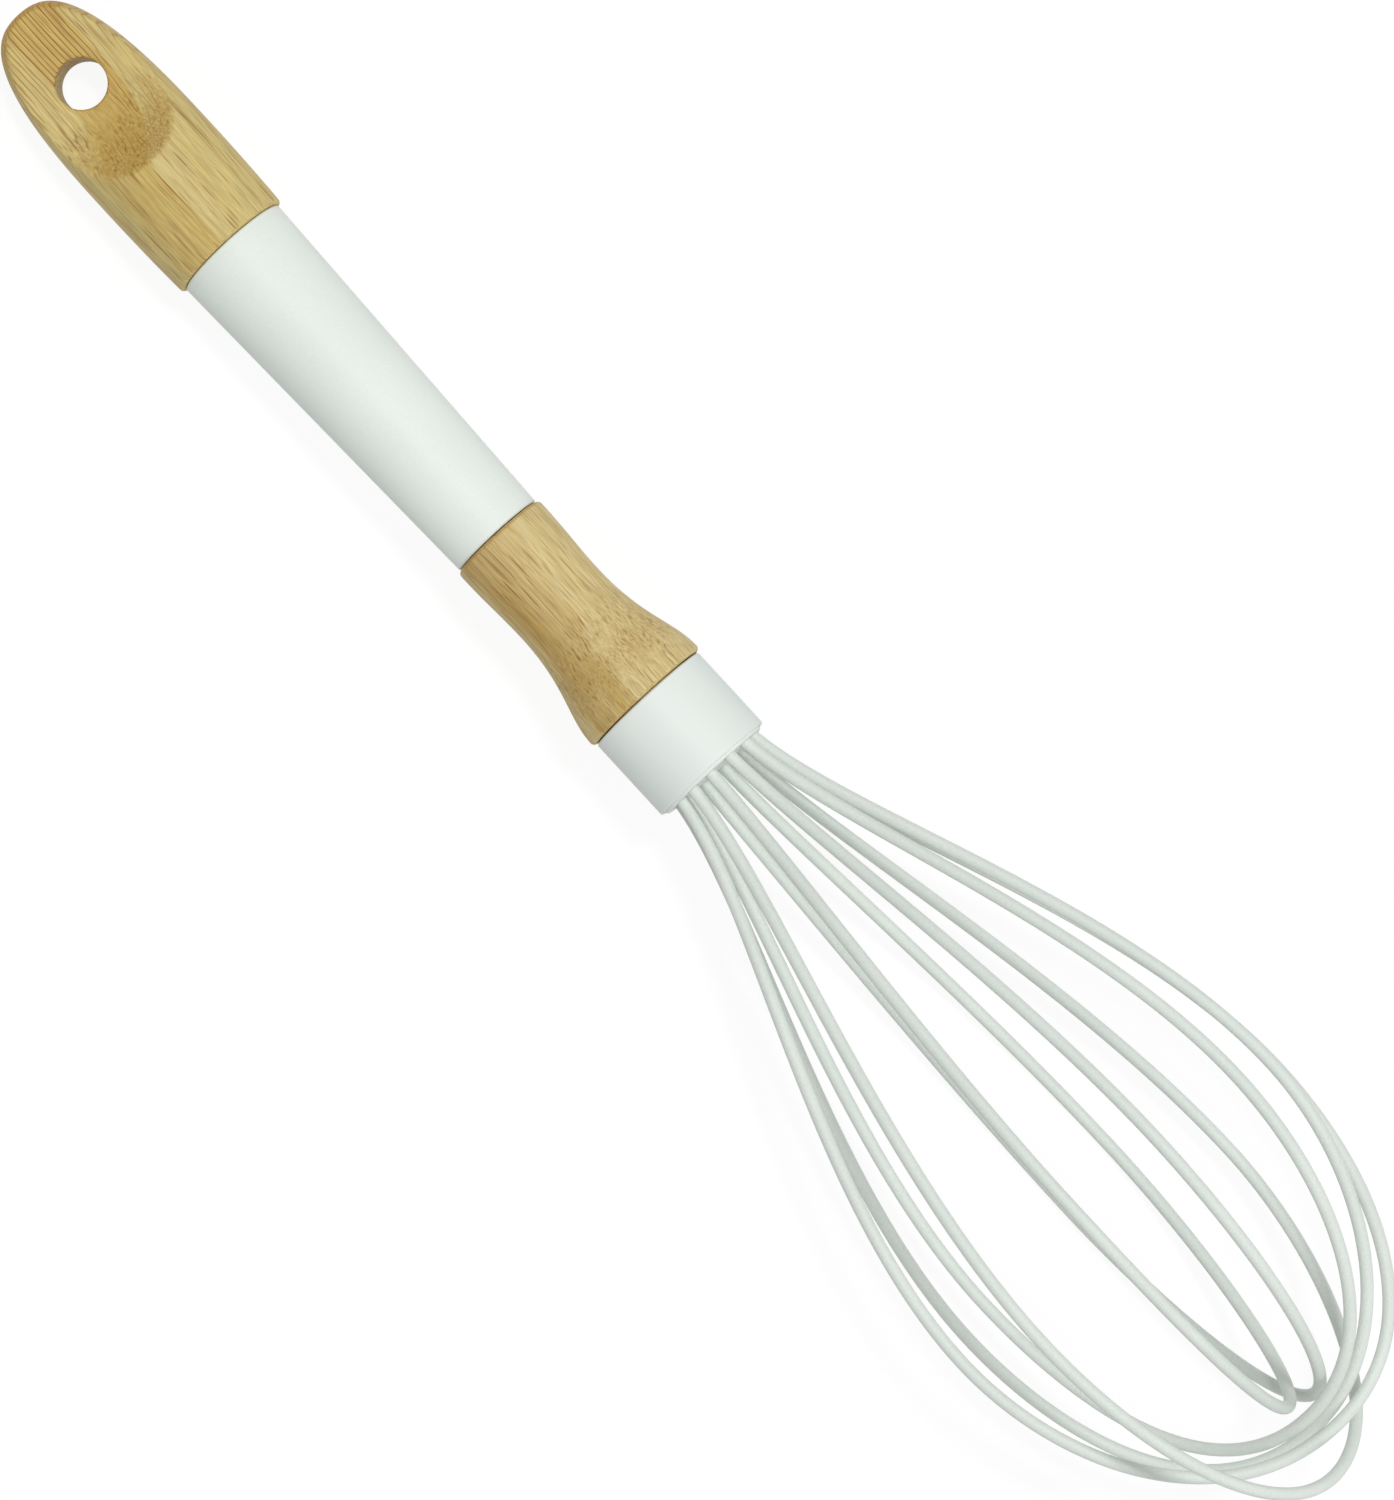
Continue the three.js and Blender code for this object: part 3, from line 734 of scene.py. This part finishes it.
def bamboo(name, wood):
    """Laminated bamboo: leaning strips with dark fibres, mottled where the cove and the flare cut them across,
    with painted shade on surfaces that face the handle tip.
    """
    n = Nodes(name)
    coords = n.whisk_coords()
    axes = n.parts(coords)
    strip_place, dense, sparse = strips(n, coords, axes, wood)
    fibres = fibre_coords(n, coords, strip_place, wood)

    # dark lines, most of them in the dense strip
    share = n.plus(n.times(dense, DENSE_MORE), n.minus(LINE_SHARE, n.times(sparse, SPARSE_LESS)))
    patches = n.span(n.grain(fibres, PATCHES, detail=2.0), 0.36, 0.6, to_low=0.3)
    long_lines = n.times(n.times(bundles(n, fibres, LONG_BUNDLES, LONG_OUTER), patches), share)
    short_lines = n.times(bundles(n, fibres, SHORT_BUNDLES, SHORT_OUTER), SHORT_SHARE)
    rows = n.times(fibre_rows(n, fibres, axes), share)
    lines = n.larger(n.larger(long_lines, short_lines), rows)

    # tone of the strips, with less amber towards the top of the barrel, partly painted sheen, streaks and fine
    # fibres
    fine = n.grain(fibres, FINE_FIBRES, detail=3.0, roughness=0.6)
    medium = n.grain(fibres, MEDIUM_STREAKS, detail=2.0)
    tone = n.grain(fibres, SLOW_TONE, detail=2.0)
    # painted sheen, partly the wood's own tone: the amber share falls with height, so the tops of the barrel and
    # the collar turn paler
    amber_fading_into_top_sheen = n.span(axes["Z"], AMBER_FULL, AMBER_WEAK, to_low=0.6, to_high=0.25)
    base = n.mix(n.span(tone, *NOISE_MIDDLE), linear(*wood.pale), linear(*wood.mid))
    base = n.mix(n.times(sparse, SPARSE_TINT), base, linear(*wood.pale))
    base = n.mix(n.times(dense, amber_fading_into_top_sheen), base, linear(*wood.amber))
    base = n.mix(n.times(n.span(medium, 0.45, 0.75), STREAK_TINT), base, linear(*wood.streak))
    base = n.mix(lines, base, FIBRE_LINE)
    base = n.shade(base, fine, low=0.79, high=1.13)

    # mottled end grain where the surface turns to the rear, together with painted shade: only faces turned
    # towards the handle tip are darkened
    facing = n.parts(n.whisk_coords("Normal"))
    rear_shade_and_end_grain = n.span(facing["X"], -0.12, -0.6, smooth=True)
    mottle = n.grain(fibres, MOTTLE, detail=3.0, roughness=0.65)
    dots = n.times(n.span(mottle, 0.42, 0.68, to_high=0.75), rear_shade_and_end_grain)
    base = n.mix(n.times(rear_shade_and_end_grain, END_GRAIN_AND_REAR_SHADE_TINT), base, END_GRAIN_AND_REAR_SHADE)
    base = n.mix(dots, base, END_GRAIN_DOT)

    relief = n.minus(n.times(fine, FINE_RELIEF), n.times(lines, LINE_RELIEF))
    roughness = n.span(fine, *NOISE_RANGE, to_low=0.5, to_high=0.64)
    return n.finish(base, roughness, specular=0.3, height=relief, strength=0.25, distance=0.00012)


def silicone(name, colour, shade, rough, grain, relief, speckle):
    """Mint-white rubber with a fine moulded grain."""
    n = Nodes(name)
    coords = n.whisk_coords()
    cloud = n.noise(coords, scale=45.0, detail=3.0)
    fine = n.noise(coords, grain, detail=3.0, roughness=0.6)
    base = n.mix(n.span(cloud, *NOISE_MIDDLE), linear(*colour), linear(*shade))
    base = n.shade(base, fine, low=1 - speckle, high=1 + 0.4 * speckle)
    roughness = n.span(fine, *NOISE_RANGE, to_low=rough - 0.06, to_high=rough + 0.06)
    return n.finish(base, roughness, specular=0.35, height=fine, strength=0.3, distance=relief)


def plastic(name, colour, shade, rough):
    """Smooth moulded plastic with faint flow marks."""
    n = Nodes(name)
    coords = n.whisk_coords()
    flow = n.grain(coords, scales=(60, 160), detail=3.0)
    fine = n.noise(coords, scale=5200.0, detail=2.0)
    base = n.mix(n.span(flow, *NOISE_MIDDLE), linear(*colour), linear(*shade))
    roughness = n.span(fine, *NOISE_RANGE, to_low=rough - 0.05, to_high=rough + 0.05)
    return n.finish(base, roughness, specular=0.4, height=fine, strength=0.12, distance=0.00003)


def steel(name, bright, dark):
    """Drawn steel with fine lines along its length."""
    n = Nodes(name)
    lines = n.grain(n.whisk_coords(), scales=(120, 5000), detail=3.0)
    base = n.mix(n.span(lines, *NOISE_RANGE), linear(*bright), linear(*dark))
    n.shader.inputs["Metallic"].default_value = 1.0
    roughness = n.span(lines, *NOISE_RANGE, to_low=0.24, to_high=0.4)
    return n.finish(base, roughness, specular=0.5, height=lines, strength=0.15, distance=0.00003)


END_WOOD = bamboo("bamboo_end", Wood(
    place=(0.0, 0.0, 0.0), strip_width=0.00669, strip_shift=-0.00012, feather=0.01, split=1.0, fineness=1.0,
    pale=(213, 194, 130), mid=(203, 178, 104), amber=(198, 162, 81), streak=(182, 148, 76)))
COLLAR_WOOD = bamboo("bamboo_collar", Wood(
    place=(0.31, 0.0043, 0.0127), strip_width=0.0085, strip_shift=0.00258, feather=0.12, split=0.0, fineness=1.6,
    pale=(223, 204, 148), mid=(202, 176, 108), amber=(178, 142, 69), streak=(162, 124, 56)))
GRIP = silicone(
    "grip_silicone", (233, 240, 233), (229, 237, 230), rough=0.55, grain=2600.0, relief=0.00004, speckle=0.03)
COAT = silicone(
    "wire_silicone", (223, 230, 223), (217, 225, 218), rough=0.55, grain=2100.0, relief=0.00006, speckle=0.06)
WHITE = plastic("white_plastic", (229, 236, 230), (226, 234, 230), rough=0.55)
CORE_WHITE = plastic("core_plastic", (217, 217, 212), (206, 206, 200), rough=0.5)
STEEL = steel("drawn_steel", (196, 198, 201), (168, 171, 175))


# Pieces
def dress(obj, material):
    obj.data.materials.clear()
    obj.data.materials.append(material)


def show(obj, material, slot, *nodes):
    dress(obj, material)
    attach(obj, "root")
    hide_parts(*nodes)


show(make_handle_end(), END_WOOD, "wood", "handle_end")
show(make_sleeve(), GRIP, "grip_silicone", "grip_sleeve")
show(make_collar(), COLLAR_WOOD, "wood", "wood_collar")
show(make_ferrule(), WHITE, "white_plastic", "ferrule")
show(make_guide(), WHITE, "white_plastic", "wire_guide")
for i in range(len(LOOPS)):
    show(make_tube(i), COAT, "wire_silicone", f"wire_coat_{i + 1}")

# pieces inside keep the solid's own mesh
for node in ("grip_core", "wire_anchor"):
    dress(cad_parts[node], CORE_WHITE)
for node in ("tie_rod", "rod_washer", "rod_nut", *(f"wire_core_{i + 1}" for i in range(len(LOOPS)))):
    dress(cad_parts[node], STEEL)

# Camera: above the head, looking down on the whisk with the handle at the upper left
CAMERA_DISTANCE = 1.270
FOOT_STATION = 0.2191
AIM_STATION = 0.16003
AIM_SIDE = 0.00026
AXIS_ANGLE = 47.361
FOCAL_PIXELS = 7993.0
PICTURE_PIXELS = 1500
SENSOR_WIDTH = 36.0


def make_camera():
    eye = WHISK @ Vector((FOOT_STATION, 0, CAMERA_DISTANCE))
    aim = WHISK @ Vector((AIM_STATION, AIM_SIDE, 0))
    forward = (aim - eye).normalized()
    axis = WHISK.to_3x3() @ Vector((1, 0, 0))
    axis = (axis - forward * axis.dot(forward)).normalized()
    other = forward.cross(axis).normalized()
    turn = math.radians(AXIS_ANGLE)
    right = axis * math.cos(turn) - other * math.sin(turn)
    up = -axis * math.sin(turn) - other * math.cos(turn)
    data = bpy.data.cameras.new("camera")
    data.sensor_width = SENSOR_WIDTH
    data.lens = FOCAL_PIXELS / PICTURE_PIXELS * SENSOR_WIDTH
    data.clip_start = 0.01
    data.clip_end = 20.0
    camera = bpy.data.objects.new("camera", data)
    scene.collection.objects.link(camera)
    camera.matrix_world = Matrix.Translation(eye) @ Matrix((right, up, -forward)).transposed().to_4x4()
    scene.camera = camera


make_camera()

# Floor, world and lamps
FLOOR_HALF = 6.0
FLOOR_DROP = 0.0002
# the floor's grey to rays that carry light, and its paper and glow where it is seen
FLOOR_BOUNCE = 0.75
FLOOR_PAPER = 0.1
FLOOR_GLOW = 0.91
WORLD_LEVEL = 0.415


def seen_directly(tree):
    """1 on a ray from the camera, a reflection or a pass through glass, 0 on a ray that carries light."""
    path = tree.nodes.new("ShaderNodeLightPath")
    value = path.outputs["Is Camera Ray"]
    for kind in ("Is Glossy Ray", "Is Transmission Ray"):
        either = tree.nodes.new("ShaderNodeMath")
        either.operation = "MAXIMUM"
        tree.links.new(value, either.inputs[0])
        tree.links.new(path.outputs[kind], either.inputs[1])
        value = either.outputs[0]
    return value


def make_floor():
    corners = [(x * FLOOR_HALF, y * FLOOR_HALF, 0) for x, y in ((-1, -1), (1, -1), (1, 1), (-1, 1))]
    mesh = bpy.data.meshes.new("floor")
    mesh.from_pydata(corners, [], [(0, 1, 2, 3)])
    floor = bpy.data.objects.new("floor", mesh)
    floor.location.z = -FLOOR_DROP
    scene.collection.objects.link(floor)
    material = bpy.data.materials.new("floor")
    material.use_nodes = True
    mesh.materials.append(material)
    tree = material.node_tree
    tree.nodes.clear()
    bounce = tree.nodes.new("ShaderNodeBsdfDiffuse")
    bounce.inputs["Color"].default_value = (FLOOR_BOUNCE,) * 3 + (1,)
    paper = tree.nodes.new("ShaderNodeBsdfDiffuse")
    paper.inputs["Color"].default_value = (FLOOR_PAPER,) * 3 + (1,)
    glow = tree.nodes.new("ShaderNodeEmission")
    glow.inputs["Color"].default_value = (1, 1, 1, 1)
    glow.inputs["Strength"].default_value = FLOOR_GLOW
    shown = tree.nodes.new("ShaderNodeAddShader")
    tree.links.new(paper.outputs[0], shown.inputs[0])
    tree.links.new(glow.outputs[0], shown.inputs[1])
    seen = tree.nodes.new("ShaderNodeMixShader")
    tree.links.new(seen_directly(tree), seen.inputs[0])
    tree.links.new(bounce.outputs[0], seen.inputs[1])
    tree.links.new(shown.outputs[0], seen.inputs[2])
    out = tree.nodes.new("ShaderNodeOutputMaterial")
    tree.links.new(seen.outputs[0], out.inputs["Surface"])


def make_world():
    world = bpy.data.worlds.new("studio")
    scene.world = world
    world.use_nodes = True
    tree = world.node_tree
    background = tree.nodes["Background"]
    level = tree.nodes.new("ShaderNodeMapRange")
    tree.links.new(seen_directly(tree), level.inputs["Value"])
    level.inputs["To Min"].default_value = WORLD_LEVEL
    level.inputs["To Max"].default_value = 1.0
    background.inputs["Color"].default_value = (1, 1, 1, 1)
    tree.links.new(level.outputs["Result"], background.inputs["Strength"])


def make_lamp(name, place, aim, size, power):
    """A round lamp, placed and aimed along the whisk's own axes, in metres."""
    place, aim = WHISK @ Vector(place), WHISK @ Vector(aim)
    data = bpy.data.lights.new(name, "AREA")
    data.shape = "DISK"
    data.size = size
    data.energy = power
    lamp = bpy.data.objects.new(name, data)
    scene.collection.objects.link(lamp)
    lamp.location = place
    lamp.rotation_mode = "QUATERNION"
    lamp.rotation_quaternion = (aim - place).to_track_quat("-Z", "Y")


make_floor()
make_world()
make_lamp("key", place=(0.24, 1.446, 5.8), aim=(0.24, 0, 0), size=0.73, power=170.0)
make_lamp("fill", place=(2.3, 0.2, 1.5), aim=(0.2, 0, 0), size=1.8, power=13.0)
